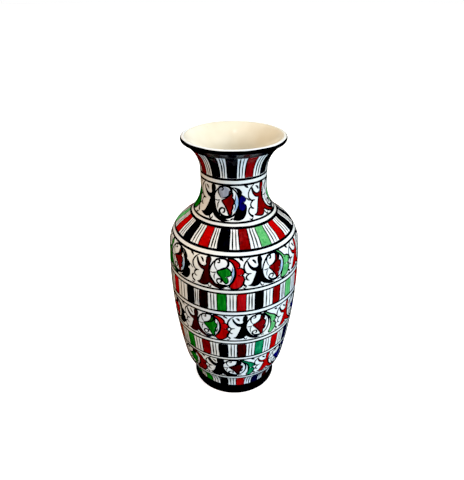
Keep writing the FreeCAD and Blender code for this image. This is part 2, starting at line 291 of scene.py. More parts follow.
def smooth_curve(points, closed, spacing):
    """A Catmull-Rom curve through the points, resampled at an even spacing."""
    points = np.asarray(points, float)
    if closed:
        padded = np.vstack([points[-1], points, points[:2]])
    else:
        padded = np.vstack([2 * points[0] - points[1], points, 2 * points[-1] - points[-2]])
    t = np.linspace(0, 1, 12, endpoint=False)[:, None]
    dense = []
    for a, b, c, d in zip(padded, padded[1:], padded[2:], padded[3:]):
        dense.append(0.5 * (2 * b + (c - a) * t + (2 * a - 5 * b + 4 * c - d) * t ** 2
                            + (3 * b - a - 3 * c + d) * t ** 3))
    dense.append(padded[-2][None, :])
    dense = np.vstack(dense)
    along = np.concatenate([[0], np.cumsum(np.linalg.norm(np.diff(dense, axis=0), axis=1))])
    count = max(4, int(along[-1] / spacing))
    where = np.linspace(0, along[-1], count + 1)
    curve = np.stack([np.interp(where, along, dense[:, k]) for k in (0, 1)], axis=1)
    return curve[:-1] if closed else curve


def side_directions(curve, closed):
    """The left-hand direction at each point of a curve."""
    if closed:
        ahead = np.roll(curve, -1, axis=0) - np.roll(curve, 1, axis=0)
    else:
        ahead = np.gradient(curve, axis=0)
    ahead /= np.maximum(np.linalg.norm(ahead, axis=1, keepdims=True), 1e-9)
    return np.stack([-ahead[:, 1], ahead[:, 0]], axis=1)


def inward_sign(edge):
    """1 where a closed curve runs anticlockwise, so that its left is inside, and -1 otherwise."""
    area = np.sum(edge[:, 0] * np.roll(edge[:, 1], -1) - np.roll(edge[:, 0], -1) * edge[:, 1])
    return 1 if area > 0 else -1


def outline_path(points, shift):
    """The closed curve through the points moved outwards, without the loops this leaves."""
    edge = smooth_curve(points, True, EDGE_SPACING)
    moved = edge - side_directions(edge, True) * inward_sign(edge) * shift
    gaps = np.linalg.norm(moved[:, None] - edge[None], axis=2).min(axis=1)
    return moved[gaps > 0.8 * abs(shift)][::2]


def open_sides(tris):
    """The directed sides that belong to one triangle only, which run round the shape's edge."""
    sides = {}
    for tri in tris:
        for a, b in zip(tri, tri[1:] + tri[:1]):
            if (b, a) in sides:
                del sides[(b, a)]
            else:
                sides[(a, b)] = True
    return sides


def fill(paint, outline, place, top=FLAT_TOP, inset=0.16, grid=1.9):
    """A filled shape: a flat top with a small slope round its edge, closed underneath."""
    edge = smooth_curve(outline, True, EDGE_SPACING)
    inward = side_directions(edge, True) * inward_sign(edge)
    top_edge = edge + inward * inset
    low, high = top_edge.min(0), top_edge.max(0)
    xs = np.arange(low[0] + grid / 2, high[0], grid)
    ys = np.arange(low[1] + grid / 2, high[1], grid)
    inner = [(x, y) for x in xs for y in ys]
    count = len(edge)
    loop = list(range(count))[::inward_sign(edge)]
    flat = [Vector(p) for p in top_edge] + [Vector(p) for p in inner]
    result = delaunay_2d_cdt(flat, [], [loop], INSIDE_ONLY, JOINED)
    verts, tris, origins = np.array([tuple(v) for v in result[0]]), result[2], result[3]
    bottom = verts.copy()
    for k, sources in enumerate(origins):
        rim = [s for s in sources if s < count]
        if rim:
            bottom[k] = edge[rim[0]]
    points = np.vstack([place(verts, top), place(bottom, SUNK_EDGE)])
    n = len(verts)
    faces = [list(tri) for tri in tris] + [[v + n for v in reversed(tri)] for tri in tris]
    faces += [[b, a, a + n, b + n] for a, b in open_sides(tris)]
    paint.add(points, faces)


def stroke_faces(count, sides, closed):
    """Faces of a brush line of so many sections, with a cap at each end if it is open."""
    faces = []
    for k in range(count if closed else count - 1):
        here, there = sides * k, sides * ((k + 1) % count)
        for j in range(sides):
            following = (j + 1) % sides
            faces.append([here + following, here + j, there + j, there + following])
    if not closed:
        last = sides * (count - 1)
        faces.append(list(range(sides)))
        faces.append([last + j for j in reversed(range(sides))])
    return faces


# How wide a brush line's ends are, as shares of its width.
PLAIN_ENDS = (0.35, 0.35)


def stroke(paint, path, width, place, closed=False, ends=PLAIN_ENDS, spacing=0.8):
    """A brush line of a given width, narrowing towards each end by the given shares."""
    curve = smooth_curve(path, closed, spacing)
    left = side_directions(curve, closed)
    t = np.linspace(0, 1, len(curve))
    phase = RNG.uniform(0, PHASES)
    half = 0.5 * width * (1 + 0.12 * np.sin(phase + 7 * t) + 0.06 * np.sin(2.3 * phase + 17 * t))
    if not closed:
        for share, away in zip(ends, (t, 1 - t)):
            half *= np.clip(away / 0.3, 0, 1) ** 0.8 * (1 - share) + share
        half *= np.clip(np.minimum(t, 1 - t) * len(curve) / 1.5, 0.25, 1)
    across = np.array([-1.0, -0.62, 0.0, 0.62, 1.0, 0.0])
    side = LINE_TOP * NEXT_TO_EDGE
    lifts = np.array([SUNK_EDGE, side, LINE_TOP, side, SUNK_EDGE, SUNK_MIDDLE])
    rings = curve[:, None, :] - left[:, None, :] * (half[:, None] * across[None, :])[:, :, None]
    points = place(rings.reshape(-1, 2), np.tile(lifts, len(curve)))
    paint.add(points, stroke_faces(len(curve), len(across), closed))


def tube_faces(count, loop):
    """Faces of a tube that closes on itself, from the number of sections and their points."""
    faces = []
    for k in range(count):
        here, there = loop * k, loop * ((k + 1) % count)
        for j in range(loop):
            following = (j + 1) % loop
            faces.append([here + j, here + following, there + following, there + j])
    return faces


def ring_band(paint, low, high, unsteady=0.22, rows=7):
    """A painted band right round the wall between two heights, a little unsteady in both."""
    count = 240
    angles = np.linspace(0, 360, count, endpoint=False)
    turn = np.radians(angles)
    phases = [RNG.uniform(0, PHASES) for _ in range(4)]
    drift = unsteady * (0.6 * np.sin(2 * turn + phases[0]) + 0.4 * np.sin(5 * turn + phases[1]))
    swell = unsteady * (0.5 * np.sin(7 * turn + phases[2]) + 0.3 * np.sin(13 * turn + phases[3]))
    inside = np.linspace(0.09, 0.91, rows - 3)
    across = np.concatenate([[0.0], inside, [1.0], [0.5]])
    lifts = np.concatenate([[SUNK_EDGE], np.full(rows - 3, RING_TOP), [SUNK_EDGE], [SUNK_MIDDLE]])
    lifts[1] = lifts[-3] = RING_TOP * NEXT_TO_EDGE
    width = high - low + swell[:, None]
    heights = (low + high) / 2 + drift[:, None] + (across[None, :] - 0.5) * width
    points = on_wall(np.repeat(angles, rows), heights.ravel(), np.tile(lifts, count))
    paint.add(points, tube_faces(count, rows))


def lip_sleeve(paint, low, high, rows=26):
    """The dark band on the lip's outside: its upper edge runs a little unevenly over the roll."""
    count = SEGMENTS
    angles = np.linspace(0, 360, count, endpoint=False)
    turn = np.radians(angles)
    rise = 0.1 * np.sin(5 * turn) + 0.07 * np.sin(11 * turn + 2.0) - 0.12 * np.cos(2 * turn)
    share = 1 - (1 - np.linspace(0, 1, rows)) ** 1.6
    heights = low + share[None, :] * (high + rise[:, None] - low)
    lift = np.full(rows, SLEEVE_TOP)
    lift[0] = lift[-1] = SLEEVE_EDGE
    outer = on_wall(np.repeat(angles, rows), heights.ravel(), np.tile(lift, count))
    inner = on_wall(np.repeat(angles, rows), heights.ravel(), np.full(rows * count, SLEEVE_BACK))
    points = np.concatenate([outer.reshape(count, rows, 3),
                             inner.reshape(count, rows, 3)[:, ::-1]], axis=1)
    paint.add(points.reshape(-1, 3), tube_faces(count, 2 * rows))


# ---------------------------------------------------------------- materials

def srgb(red, green, blue):
    """A colour given as 0 to 255 sRGB, in linear light."""
    def linear(value):
        value /= 255
        return value / 12.92 if value <= 0.04045 else ((value + 0.055) / 1.055) ** 2.4
    return (linear(red), linear(green), linear(blue), 1.0)


def add_node(tree, kind, inputs=None, **settings):
    """A new node with the given socket values and settings."""
    node = tree.nodes.new(kind)
    for key, value in settings.items():
        setattr(node, key, value)
    for key, value in (inputs or {}).items():
        node.inputs[key].default_value = value
    return node


def noise(tree, vector, scale, detail=3.0, stretch=(1, 1, 1), distortion=0.0):
    """A noise pattern at a scale per metre, stretched along the axes."""
    mapping = add_node(tree, "ShaderNodeMapping", {"Scale": stretch})
    pattern = add_node(tree, "ShaderNodeTexNoise",
                       {"Scale": scale, "Detail": detail, "Distortion": distortion})
    tree.links.new(vector, mapping.inputs["Vector"])
    tree.links.new(mapping.outputs["Vector"], pattern.inputs["Vector"])
    return pattern.outputs["Fac"]


def ramp(tree, factor, stops):
    """A colour ramp from (position, colour) stops."""
    node = tree.nodes.new("ShaderNodeValToRGB")
    elements = node.color_ramp.elements
    while len(elements) < len(stops):
        elements.new(0.5)
    for element, (position, colour) in zip(elements, stops):
        element.position = position
        element.color = colour
    tree.links.new(factor, node.inputs["Fac"])
    return node.outputs["Color"]


# The Mix node's sockets when it mixes colours.
MIX_FACTOR, MIX_FIRST, MIX_SECOND, MIX_RESULT = 0, 6, 7, 2


def multiply_colours(tree, share, first, second):
    """One colour darkened by another, by a share of the whole effect."""
    node = add_node(tree, "ShaderNodeMix", data_type="RGBA", blend_type="MULTIPLY")
    node.inputs[MIX_FACTOR].default_value = share
    tree.links.new(first, node.inputs[MIX_FIRST])
    tree.links.new(second, node.inputs[MIX_SECOND])
    return node.outputs[MIX_RESULT]


def bump(tree, layers):
    """Stacked bumps from (height output, strength, depth in metres)."""
    normal = None
    for height, strength, depth in layers:
        node = add_node(tree, "ShaderNodeBump", {"Strength": strength, "Distance": depth})
        tree.links.new(height, node.inputs["Height"])
        if normal is not None:
            tree.links.new(normal, node.inputs["Normal"])
        normal = node.outputs["Normal"]
    return normal


def new_material(name):
    """A new material, with its node tree, its shader and the surface's own coordinates."""
    material = bpy.data.materials.new(name)
    material.use_nodes = True
    tree = material.node_tree
    shader = tree.nodes["Principled BSDF"]
    place = tree.nodes.new("ShaderNodeTexCoord").outputs["Object"]
    return material, tree, shader, place


def grey(value):
    """A linear grey of one value."""
    return (value, value, value, 1.0)


WHITE = grey(1.0)
GLAZE_ROUGHNESS = 0.16
# Brush streaks are drawn out along +Z.
BRUSH_STREAK = (1, 1, 0.16)


def glaze(name, colour, warm, cool):
    """Thick tin glaze: soft clouds of tone, a few pinholes and specks, and a rippled gloss."""
    material, tree, shader, place = new_material(name)
    clouds = ramp(tree, noise(tree, place, 16, 4.0),
                  [(0.30, warm), (0.5, colour), (0.72, cool)])
    specks = noise(tree, place, 620, 1.0)
    dots = ramp(tree, specks,
                [(0.0, srgb(120, 100, 85)), (0.175, srgb(150, 130, 110)), (0.20, WHITE)])
    tree.links.new(multiply_colours(tree, 0.75, clouds, dots), shader.inputs["Base Color"])
    gloss = ramp(tree, noise(tree, place, 55),
                 [(0.3, grey(GLAZE_ROUGHNESS * 0.8)), (0.7, grey(GLAZE_ROUGHNESS * 1.3))])
    tree.links.new(gloss, shader.inputs["Roughness"])
    shader.inputs["Coat Weight"].default_value = 0.35
    shader.inputs["Coat Roughness"].default_value = 0.06
    layers = [(noise(tree, place, 48, 2.0), 0.35, 0.0006),
              (noise(tree, place, 420, 2.0), 0.12, 0.0001),
              (specks, 0.25, 0.0001)]
    tree.links.new(bump(tree, layers), shader.inputs["Normal"])
    return material


def enamel(name, colour, thin, thick, roughness=0.2):
    """Brushed ceramic colour: streaks that follow the brush, thinner and thicker in places."""
    material, tree, shader, place = new_material(name)
    streaks = ramp(tree, noise(tree, place, 520, 3.0, BRUSH_STREAK, 0.4),
                   [(0.30, thick), (0.5, colour), (0.74, thin)])
    pools = ramp(tree, noise(tree, place, 95, 3.0), [(0.35, grey(0.72)), (0.6, WHITE)])
    tree.links.new(multiply_colours(tree, 0.8, streaks, pools), shader.inputs["Base Color"])
    gloss = ramp(tree, noise(tree, place, 160),
                 [(0.3, grey(roughness * 0.7)), (0.7, grey(roughness * 1.4))])
    tree.links.new(gloss, shader.inputs["Roughness"])
    shader.inputs["Specular IOR Level"].default_value = 0.18
    layers = [(noise(tree, place, 520, 3.0, BRUSH_STREAK, 0.4), 0.3, 0.00012),
              (noise(tree, place, 60, 2.0), 0.3, 0.0005)]
    tree.links.new(bump(tree, layers), shader.inputs["Normal"])
    return material


def fired_clay():
    """Bare fired clay: warm terracotta with grog specks, turning marks and a dusty bloom."""
    material, tree, shader, place = new_material("fired_clay")
    body = ramp(tree, noise(tree, place, 60, 6.0),
                [(0.3, srgb(150, 92, 66)), (0.55, srgb(182, 118, 86)), (0.8, srgb(204, 146, 112))])
    grog = ramp(tree, noise(tree, place, 900, 1.0), [(0.28, srgb(96, 62, 48)), (0.36, WHITE)])
    tree.links.new(multiply_colours(tree, 0.7, body, grog), shader.inputs["Base Color"])
    shader.inputs["Roughness"].default_value = 0.88
    rings = add_node(tree, "ShaderNodeTexWave", {"Scale": 180.0, "Distortion": 1.5, "Detail": 2.0},
                     wave_type="RINGS", rings_direction="Z")
    tree.links.new(place, rings.inputs["Vector"])
    layers = [(rings.outputs["Fac"], 0.25, 0.0002), (noise(tree, place, 900, 4.0), 0.4, 0.0002)]
    tree.links.new(bump(tree, layers), shader.inputs["Normal"])
    return material


WHITE_GLAZE = glaze("white_glaze", srgb(238, 238, 236), srgb(236, 231, 220), srgb(226, 234, 244))
CREAM_GLAZE = glaze("cream_glaze", srgb(229, 221, 203), srgb(219, 207, 183), srgb(237, 232, 219))
BLACK_GLAZE = enamel("black_glaze", srgb(5, 5, 10), srgb(9, 10, 26), srgb(2, 2, 4), roughness=0.16)
COLOURS = {
    "black": enamel("enamel_black", srgb(4, 4, 8), srgb(6, 8, 26), srgb(1, 1, 3)),
    "red": enamel("enamel_red", srgb(186, 8, 12), srgb(206, 22, 16), srgb(146, 4, 10)),
    "dark_red": enamel("enamel_dark_red", srgb(128, 6, 10), srgb(158, 16, 14), srgb(92, 4, 8)),
    "maroon": enamel("enamel_maroon", srgb(56, 6, 10), srgb(80, 10, 12), srgb(34, 4, 7)),
    "umber": enamel("enamel_umber", srgb(26, 4, 6), srgb(42, 6, 8), srgb(14, 2, 4)),
    "brick": enamel("enamel_brick", srgb(150, 48, 26), srgb(176, 66, 34), srgb(120, 30, 20)),
    "green": enamel("enamel_green", srgb(16, 116, 26), srgb(44, 148, 40), srgb(8, 82, 20)),
    "emerald": enamel("enamel_emerald", srgb(12, 132, 82), srgb(50, 164, 108), srgb(6, 98, 62)),
    "light_green": enamel("enamel_light_green", srgb(92, 178, 104), srgb(122, 198, 132),
                          srgb(60, 154, 84)),
    "blue": enamel("enamel_blue", srgb(8, 8, 92), srgb(14, 16, 140), srgb(4, 4, 40)),
    "navy": enamel("enamel_navy", srgb(7, 8, 42), srgb(12, 14, 74), srgb(3, 3, 20)),
    # Grey is painted shade: it fills the white teardrop on the neck, where the drop lies in shade.
    "grey": enamel("drop_painted_shade", srgb(164, 168, 182), srgb(190, 194, 206), srgb(134, 138, 156)),
    "pale_blue": enamel("enamel_pale_blue", srgb(160, 192, 222), srgb(196, 214, 232),
                        srgb(120, 160, 206)),
}
CLAY = fired_clay()


# ---------------------------------------------------------------- bars

# Each row of bars: heights of the bar's foot and head, share of the pitch that a bar fills, and
# the bars that face the front as (angle, colour).  The rest of the row goes on round the back in
# the same rhythm.
BAR_ROWS = {
    "neck": (267.6, 289.6, 0.54, [(-58, "dark_red"), (-30, "black"), (-3, "black"),
                                  (25, "dark_red"), (56, "black")]),
    "shoulder": (207.0, 221.2, 0.52, [(-71, "red"), (-50, "black"), (-29, "red"), (-10, "black"),
                                      (10, "dark_red"), (31, "light_green"), (52, "red"),
                                      (74, "black")]),
    "upper": (141.0, 160.9, 0.50, [(-59, "red"), (-39, "black"), (-26, "umber"), (-10, "green"),
                                   (6, "red"), (21, "black"), (38, "dark_red"),
                                   (53, "light_green"), (71, "red")]),
    "lower": (73.2, 93.4, 0.47, [(-63, "brick"), (-45, "green"), (-27, "dark_red"), (-10, "black"),
                                 (7, "maroon"), (24, "emerald"), (41, "red"), (59, "navy")]),
    "foot": (12.2, 31.9, 0.50, [(-37, "green"), (-14, "black"), (8, "red"), (29, "navy"),
                                (48, "maroon")]),
}
BACK_BAR_COLOURS = ("green", "black", "red", "light_green", "black", "dark_red")
# Hand work: how far bars lean, their edges waver and lines wander, in degrees, and how far
# upright lines sway, in millimetres.
BAR_LEAN, BAR_WAVER, BAR_SPREAD, LINE_WANDER = 0.5, 0.28, 0.8, 0.25
LINE_SWAY = 0.12
EDGE_LINE, GAP_LINE = 1.4, 1.5
# How far the upright lines run under the rings above and below them.
LINE_OVERLAP = 0.9


def whole_row(front):
    """The front bars and, evenly spaced round the back, enough more to close the row."""
    angles = [angle for angle, _ in front]
    pitch = (angles[-1] - angles[0]) / (len(angles) - 1)
    open_turn = 360 - (angles[-1] - angles[0])
    gaps = round(open_turn / pitch)
    row = list(front)
    for k in range(1, gaps):
        colour = BACK_BAR_COLOURS[k % len(BACK_BAR_COLOURS)]
        spread = RNG.uniform(-BAR_SPREAD, BAR_SPREAD)
        row.append((angles[-1] + open_turn * k / gaps + spread, colour))
    return row, pitch


def grid_faces(rows, columns):
    """Faces of a flat block: its face, its back and the four sides between them."""
    faces = []
    n = rows * columns
    for r in range(rows - 1):
        for c in range(columns - 1):
            a = r * columns + c
            quad = [a, a + 1, a + columns + 1, a + columns]
            faces.append(quad)
            faces.append([v + n for v in reversed(quad)])
    rim = list(range(columns))
    rim += [r * columns + columns - 1 for r in range(1, rows)]
    rim += [(rows - 1) * columns + c for c in reversed(range(columns - 1))]
    rim += [r * columns for r in reversed(range(1, rows - 1))]
    for a, b in zip(rim, rim[1:] + rim[:1]):
        faces.append([b, a, a + n, b + n])
    return faces


def bar(paint, angle, half_width, low, high):
    """One painted bar: straight-sided by eye, so its edges waver a little."""
    rows, columns, bends = 12, 7, 4
    heights = np.linspace(low, high, rows)
    share = np.linspace(-1, 1, columns)
    lean = RNG.uniform(-BAR_LEAN, BAR_LEAN)
    edges = [[RNG.uniform(-BAR_WAVER, BAR_WAVER) for _ in range(bends)] for _ in range(2)]
    knots = np.linspace(low, high, bends)
    left, right = (np.interp(heights, knots, edge) for edge in edges)
    middle = angle + lean * np.linspace(-1, 1, rows)
    width = half_width + np.where(share[None, :] < 0, left[:, None], right[:, None])
    angles = middle[:, None] + share[None, :] * width
    high_rows = np.repeat(heights[:, None], columns, axis=1)
    upper = on_wall(angles, high_rows, FLAT_TOP).reshape(-1, 3)
    under = on_wall(angles, high_rows, SUNK_EDGE).reshape(-1, 3)
    paint.add(np.vstack([upper, under]), grid_faces(rows, columns))


def upright_line(paint, angle, low, high, width):
    """A brush line drawn down the wall, its width in millimetres."""
    middle = (low + high) / 2
    radius = radius_at(middle)
    reach = (high - low) / 2 + LINE_OVERLAP
    path = []
    for share in np.linspace(-1, 1, 5):
        sway = RNG.uniform(-LINE_SWAY, LINE_SWAY)
        path.append((sway, middle + share * reach))

    def place(points, lift):
        return on_wall(angle + np.degrees(points[:, 0] / radius), points[:, 1], lift)

    stroke(paint, path, width, place, ends=(0.7, 0.6), spacing=1.6)


def paint_bars(name):
    """One row of bars, each with a line down both edges, and two thin lines in each gap."""
    low, high, share, front = BAR_ROWS[name]
    row, pitch = whole_row(front)
    half = pitch * share / 2
    lines = Paint.layers[f"{name}_bar_lines"]
    spans = []
    for angle, colour in row:
        here = half * RNG.uniform(0.92, 1.06)
        bar(Paint.layers[f"bars_{colour}"], angle, here, low, high)
        for side in (-1, 1):
            upright_line(lines, angle + side * here, low, high, EDGE_LINE)
        spans.append((angle - here, angle + here))
    spans.append((spans[0][0] + 360, spans[0][1] + 360))
    for (_, end), (start, _) in zip(spans, spans[1:]):
        for third in (1 / 3, 2 / 3):
            angle = end + (start - end) * third + RNG.uniform(-LINE_WANDER, LINE_WANDER)
            upright_line(lines, angle, low, high, GAP_LINE * RNG.uniform(0.8, 1.15))


# ---------------------------------------------------------------- figures and medallions

# Shapes of one repeat, in hundredths of the row's height, across from the middle of the
# medallion and up from the foot of the row.
REPEAT_WIDTH = 165.0
RING_CENTRE, RING_SIZE = (1, 53), (39.5, 45.5)
HORNED_LEAF = [(-14, 58), (-6, 62), (3, 68), (10, 76), (12, 86), (15, 95), (21, 88), (21, 78),
               (19, 71), (25, 64), (27, 56), (24, 49), (20, 46), (23, 40), (21, 33), (17, 30),
               (18, 22), (15, 14), (10, 24), (3, 36), (-6, 48)]
ROUND_LEAF = [(-13, 58), (-6, 62), (2, 67), (10, 69), (20, 65), (25, 57), (23, 49), (16, 44),
              (11, 41), (15, 34), (16, 25), (12, 19), (7, 25), (-3, 41), (-11, 52)]
WING = [(18, 96), (32, 95), (43, 89), (50, 80), (49, 72), (57, 68), (63, 60), (61, 52), (53, 47),
        (60, 43), (63, 33), (60, 18), (50, 6), (35, 1), (25, 6), (26, 15), (34, 30), (39, 48),
        (39, 64), (36, 79), (29, 90)]
SLIM_WING = [(13, 101), (23, 98), (35, 88), (46, 75), (57, 72), (66, 65), (69, 55), (64, 47),
             (53, 44), (65, 41), (69, 30), (63, 13), (48, 4), (32, 6), (36, 20), (40, 34),
             (42, 50), (41, 64), (37, 78), (26, 92)]
THIN_WING = [(22, 100), (33, 92), (44, 83), (54, 77), (63, 70), (68, 60), (64, 50), (56, 45),
             (66, 40), (69, 28), (63, 13), (53, 4), (46, 8), (50, 22), (52, 36), (51, 50),
             (49, 62), (43, 76), (33, 88)]
WING_PATCH = [(48, 68), (58, 63), (59, 53), (52, 48), (59, 42), (59, 33), (50, 27), (40, 32),
              (42, 49), (41, 61)]
WING_VEINS = [[(57, 47), (50, 46), (45, 48)], [(52, 71), (47, 70), (42, 72)]]
FIGURE = [(-54, 88), (-53, 96), (-46, 101), (-39, 97), (-37, 88), (-40, 78), (-41, 60), (-38, 44),
          (-30, 27), (-17, 12), (-2, 5), (8, 2), (-10, -1), (-26, 4), (-36, 10), (-42, 15),
          (-48, 8), (-58, 3), (-70, 4), (-84, 10), (-75, 14), (-69, 26), (-63, 43), (-60, 55),
          (-68, 58), (-77, 66), (-84, 79), (-86, 92), (-81, 88), (-77, 80), (-68, 71), (-58, 70),
          (-53, 75), (-54, 82)]
SHADE = [(-20, 93), (-10, 98), (5, 99), (17, 95), (22, 85), (19, 75), (12, 68), (2, 64),
         (-10, 60), (-17, 59), (-8, 63), (2, 68), (10, 74), (14, 83), (12, 91), (4, 95), (-8, 95)]
DROP = [(-10, 95), (2, 95), (12, 89), (13, 80), (8, 71), (-4, 64), (-14, 63), (-19, 70),
        (-22, 82), (-18, 91)]
DROP_EDGE = [(-12, 97), (-20, 92), (-23, 80), (-20, 69), (-14, 61)]
CURL = [(-23, 93), (-15, 96), (-8, 92), (-9, 86), (-16, 86)]
HEART_LINE = [(-17, 56), (-27, 53), (-36, 54)]
VEIN = [(-19, 54), (-24, 43), (-23, 29)]
VOLUTE = [(14, 13), (1, 12), (-11, 16), (-17, 25), (-12, 33), (-3, 32), (-2, 24), (-8, 21)]
BELLY_LINE = [(-35, 39), (-31, 26), (-22, 14), (-9, 8)]
SLIVER = [(30, 74), (36, 62), (38, 50), (35, 36), (26, 24), (22, 27), (28, 38), (27, 50),
          (29, 60)]
SLIVER_EDGE = [(31, 76), (29, 60), (27, 50), (29, 40), (24, 27)]
COMMAS = [[(-71, 93), (-64, 89), (-58, 80)], [(-110, 99), (-102, 96), (-96, 91)],
          [(-99, 17), (-93, 11), (-87, 5)]]
TENDRILS = [[(-74, 100), (-87, 90), (-95, 75), (-93, 60), (-85, 51), (-72, 50)],
            [(-76, 50), (-84, 47), (-89, 39), (-86, 30), (-79, 28)],
            [(-88, 33), (-94, 30), (-98, 22), (-94, 12), (-86, 9)]]
LOOPS = [[(-46, 15), (-42, 4), (-36, 1), (-33, 9)], [(-100, 4), (-94, 1), (-88, 5)],
         [(14, 2), (22, 7), (28, 2)]]
STEM = [(62, 62), (68, 56), (74, 50)]
# The brush work over one repeat, in the order it is laid: lines, width in millimetres, and ends.
BRUSH_WORK = [([DROP_EDGE], 1.5, PLAIN_ENDS), ([CURL], 1.9, (0.5, 1.0)),
              ([HEART_LINE], 1.4, PLAIN_ENDS), ([VEIN], 1.3, PLAIN_ENDS),
              ([VOLUTE], 2.2, (0.8, 0.9)), ([BELLY_LINE], 1.4, PLAIN_ENDS),
              ([SLIVER_EDGE], 1.2, PLAIN_ENDS), (COMMAS, 2.4, (0.15, 0.8)),
              (TENDRILS, 1.9, (0.4, 0.9)), (LOOPS, 1.5, PLAIN_ENDS), ([STEM], 1.5, PLAIN_ENDS)]
SHAPE_LINE, RING_LINE, HEAVY_LINE = 1.8, 2.0, 3.0
# On the neck the leaf is smaller, and moved a little right and up.
NECK_LEAF_SCALE, NECK_LEAF_MOVE = (0.8, 0.85), (2, 4)

# Rows of figures: heights of the row's foot and head, how many repeats go round, and each repeat
# that faces the front as (angle of its medallion, figure colour, leaf colour, wing colour, how far
# the figure stands to the right of its usual place).
FIGURE_ROWS = {
    "neck": (226.6, 260.2, 4, [(-103.5, "black", "dark_red", "green", 0),
                               (-13.5, "black", "dark_red", "blue", 6),
                               (76.5, "dark_red", "light_green", "black", 0)]),
    "upper": (168.0, 200.4, 8, [(-55.5, "green", "dark_red", "black", 0),
                                (-9.5, "maroon", "green", "red", 3),
                                (34.0, "black", "dark_red", "light_green", 0),
                                (79.0, "red", "green", "black", 0)]),
    "middle": (100.8, 133.8, 8, [(-66.5, "black", "red", "black", 0),
                                 (-22.5, "maroon", "green", "red", 2),
                                 (20.5, "black", "dark_red", "light_green", 5),
                                 (66.5, "red", "blue", "black", 0)]),
    "lower": (38.0, 67.6, 7, [(-51.0, "red", "green", "dark_red", 0),
                              (-0.5, "black", "maroon", "emerald", 3),
                              (51.0, "red", "blue", "blue", 0)]),
}
BACK_REPEATS = (("maroon", "green", "red"), ("black", "dark_red", "light_green"),
                ("red", "green", "black"), ("black", "red", "green"))


def ellipse(centre, size, count=14):
    """Points round an ellipse."""
    turn = np.linspace(0, 2 * math.pi, count, endpoint=False)
    return [(centre[0] + size[0] * math.cos(a), centre[1] + size[1] * math.sin(a)) for a in turn]


class Repeat:
    """One hand-painted repeat of the ornament, placed round a row."""

    def __init__(self, row, angle, pitch, low, high):
        self.row, self.angle, self.low = row, angle, low
        self.radius = radius_at((low + high) / 2)
        self.scale_up = (high - low) / 100
        self.scale_across = math.radians(pitch) * self.radius / REPEAT_WIDTH
        self.lines = Paint.layers[f"{row}_figure_lines"]

    def points(self, shape, unsteady=0.16):
        """The shape in millimetres, with the small unsteadiness of the hand."""
        return [(x * self.scale_across + RNG.uniform(-unsteady, unsteady),
                 y * self.scale_up + RNG.uniform(-unsteady, unsteady)) for x, y in shape]

    def place(self, points, lift):
        """Points of the repeat, in millimetres, put on the wall."""
        angle = self.angle + np.degrees(points[:, 0] / self.radius)
        return on_wall(angle, self.low + points[:, 1], lift)

    def coloured(self, shape, colour, outline=SHAPE_LINE, outwards=0.3):
        """A coloured shape, and its black outline moved outwards by a share of its width."""
        points = self.points(shape)
        fill(Paint.layers[f"figures_{colour}"], points, self.place)
        if colour != "black":
            path = outline_path(points, outline * outwards)
            stroke(self.lines, path, outline, self.place, closed=True)

    def wing_shape(self, wing):
        """Green wings on the two lower rows of figures are thin, other light green ones slim."""
        if self.row in ("middle", "lower") and wing in ("light_green", "emerald"):
            return THIN_WING
        return SLIM_WING if wing == "light_green" else WING

    def line(self, shape, width, ends):
        """A black brush line along the shape."""
        stroke(self.lines, self.points(shape), width, self.place, ends=ends)

    def paint(self, figure_shape, figure, leaf_shape, leaf, wing):
        """The medallion and its wing, then the figure, then the leaf and the brush work."""
        if self.row in ("neck", "upper"):
            fill(Paint.layers["figures_pale_blue"], self.points(SLIVER, 0.1), self.place)
        ring = self.points(ellipse(RING_CENTRE, RING_SIZE))
        stroke(self.lines, ring, RING_LINE, self.place, closed=True)
        self.paint_wing(wing)
        self.coloured(figure_shape, figure, outwards=-0.3)
        if self.row == "lower" and figure == "black":
            stroke(self.lines, self.points(figure_shape), HEAVY_LINE, self.place, closed=True)
        self.coloured(leaf_shape, leaf)
        fill(Paint.layers["figures_black"], self.points(SHADE), self.place, top=OVER_TOP)
        for shapes, width, ends in BRUSH_WORK:
            for brush_line in shapes:
                self.line(brush_line, width, ends)

    def paint_wing(self, wing):
        """The lobed wing.  The neck's blue one is black with a blue patch, by a drop of painted
        shade.
        """
        if self.row == "neck" and wing == "blue":
            self.coloured(WING, "black")
            patch = self.points(WING_PATCH)
            fill(Paint.layers["figures_blue"], patch, self.place, top=OVER_TOP)
            # The grey fill on the drop is painted shade over the white teardrop.
            fill(Paint.layers["figures_grey"], self.points(DROP), self.place)
        else:
            self.coloured(self.wing_shape(wing), wing, outline=RING_LINE)
        for vein in WING_VEINS:
            self.line(vein, 1.5, (1.0, 0.3))


def paint_figures(row):
    """One row of repeats: those of the front, then as many as close the row at the back."""
    low, high, count, front = FIGURE_ROWS[row]
    angles = [repeat[0] for repeat in front]
    open_turn = 360 - (angles[-1] - angles[0])
    gaps = count - len(front) + 1
    repeats = list(front)
    for k in range(1, gaps):
        colours = BACK_REPEATS[k % len(BACK_REPEATS)]
        repeats.append((angles[-1] + open_turn * k / gaps, *colours, 0))
    for angle, figure, leaf, wing, across in repeats:
        leaf_shape = ROUND_LEAF if leaf == "green" and row == "upper" else HORNED_LEAF
        if row == "neck":
            leaf_shape = [(NECK_LEAF_SCALE[0] * x + NECK_LEAF_MOVE[0],
                           NECK_LEAF_SCALE[1] * y + NECK_LEAF_MOVE[1]) for x, y in leaf_shape]
        figure_shape = [(x + across, y) for x, y in FIGURE]
        repeat = Repeat(row, angle, 360 / count, low, high)
        repeat.paint(figure_shape, figure, leaf_shape, leaf, wing)


# Black lines of the rings that part the rows, as (foot, head) in pairs round a white band, how
# much further each runs away from that band, and the dark band under the lip.
RING_LINES = [(31.6, 33.6), (36.1, 38.0), (67.6, 69.5), (71.3, 73.3), (93.5, 95.5), (98.1, 100.0),
              (134.1, 136.0), (138.8, 140.8), (160.9, 162.8), (165.5, 167.5), (200.4, 202.3),
              (205.0, 207.0), (220.9, 222.8), (224.8, 226.3), (260.0, 262.0), (265.0, 267.2)]
RING_SPREAD = 0.3
LIP_BAND = (289.4, 299.35)

